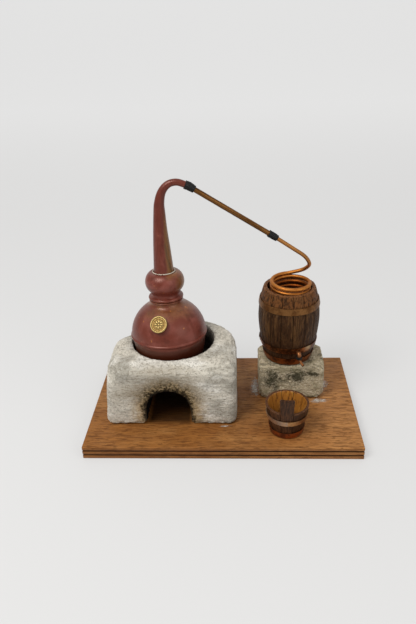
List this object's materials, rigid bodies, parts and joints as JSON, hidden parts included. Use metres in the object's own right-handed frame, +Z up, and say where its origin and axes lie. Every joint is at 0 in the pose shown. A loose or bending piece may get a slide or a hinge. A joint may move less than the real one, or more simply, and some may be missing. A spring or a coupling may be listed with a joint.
{
  "type": "alembic still model",
  "caption": "Copper alembic pot still in a stone furnace, with swan neck and arm leading to a worm in an open wooden barrel, and a bucket, all on a board.",
  "frame": {"origin": "centre of the board's underside", "axes": "+X along the board from the furnace to the barrel, +Y to the board's back edge, +Z up"},
  "size_m": [0.25, 0.148, 0.2286],
  "materials": {
    "board_oak": "oiled mid-brown oak with fine grain along the board",
    "furnace_stone": "rough pale grey stone, scorched yellow-brown and black round the fire hole",
    "mossy_stone": "grey-green stone with dark mossy patches",
    "red_brown_copper": "copper with a satin oxide-red coat, worn golden brown in places",
    "aged_copper": "aged brown-gold copper, drawn lengthwise",
    "bright_copper": "bright orange copper tube",
    "hoop_copper": "brown-red tarnished copper",
    "disc_brass": "dull brass, worn bright on the rim",
    "black_tape": "matt black sealing tape",
    "pale_solder": "whitish dull solder",
    "stave_oak": "dark stained oak, paler on the rim's end grain",
    "bucket_wood": "dark wood outside, amber varnish inside"
  },
  "bodies": {
    "base": {"base_board": "board_oak", "furnace_block": "furnace_stone", "barrel_stone": "mossy_stone", "barrel_hoop_upper": "hoop_copper", "barrel_hoop_lower": "hoop_copper", "barrel_hoop_base": "hoop_copper", "hoop_rivet_upper": "hoop_copper", "hoop_rivet_lower": "hoop_copper", "hoop_rivet_base": "hoop_copper", "outlet_elbow": "hoop_copper", "outlet_spout": "hoop_copper", "outlet_band": "black_tape", "barrel_stave_01": "stave_oak", "barrel_stave_02": "stave_oak", "barrel_stave_03": "stave_oak", "barrel_stave_04": "stave_oak", "barrel_stave_05": "stave_oak", "barrel_stave_06": "stave_oak", "barrel_stave_07": "stave_oak", "barrel_stave_08": "stave_oak", "barrel_stave_09": "stave_oak", "barrel_stave_10": "stave_oak", "barrel_stave_11": "stave_oak", "barrel_stave_12": "stave_oak", "barrel_stave_13": "stave_oak", "barrel_stave_14": "stave_oak", "barrel_stave_15": "stave_oak", "barrel_stave_16": "stave_oak", "barrel_bottom": "stave_oak"},
    "pot": {"pot_body": "red_brown_copper", "brass_disc": "disc_brass", "disc_stud": "disc_brass"},
    "head": {"head_bulb": "red_brown_copper", "neck_solder_ring": "pale_solder", "swan_neck": "red_brown_copper", "joint_wrap_upper": "black_tape", "lyne_arm": "aged_copper", "joint_wrap_lower": "black_tape", "worm_coil": "bright_copper"},
    "bucket": {"bucket_handle_stave": "bucket_wood", "bucket_stave_01": "bucket_wood", "bucket_stave_02": "bucket_wood", "bucket_stave_03": "bucket_wood", "bucket_stave_04": "bucket_wood", "bucket_stave_05": "bucket_wood", "bucket_stave_06": "bucket_wood", "bucket_stave_07": "bucket_wood", "bucket_stave_08": "bucket_wood", "bucket_stave_09": "bucket_wood", "bucket_bottom": "bucket_wood", "bucket_hoop_upper": "hoop_copper", "bucket_hoop_lower": "hoop_copper"}
  },
  "joints": [
    {"name": "pot_lift", "type": "slide", "parent": "base", "child": "pot", "axis": [0, 0, 1], "range_m": [0, 0.075]},
    {"name": "head_lift", "type": "slide", "parent": "pot", "child": "head", "axis": [0, 0, 1], "range_m": [0, 0.075]},
    {"name": "bucket_lift", "type": "slide", "parent": "base", "child": "bucket", "axis": [0, 0, 1], "range_m": [0, 0.06]}
  ]
}
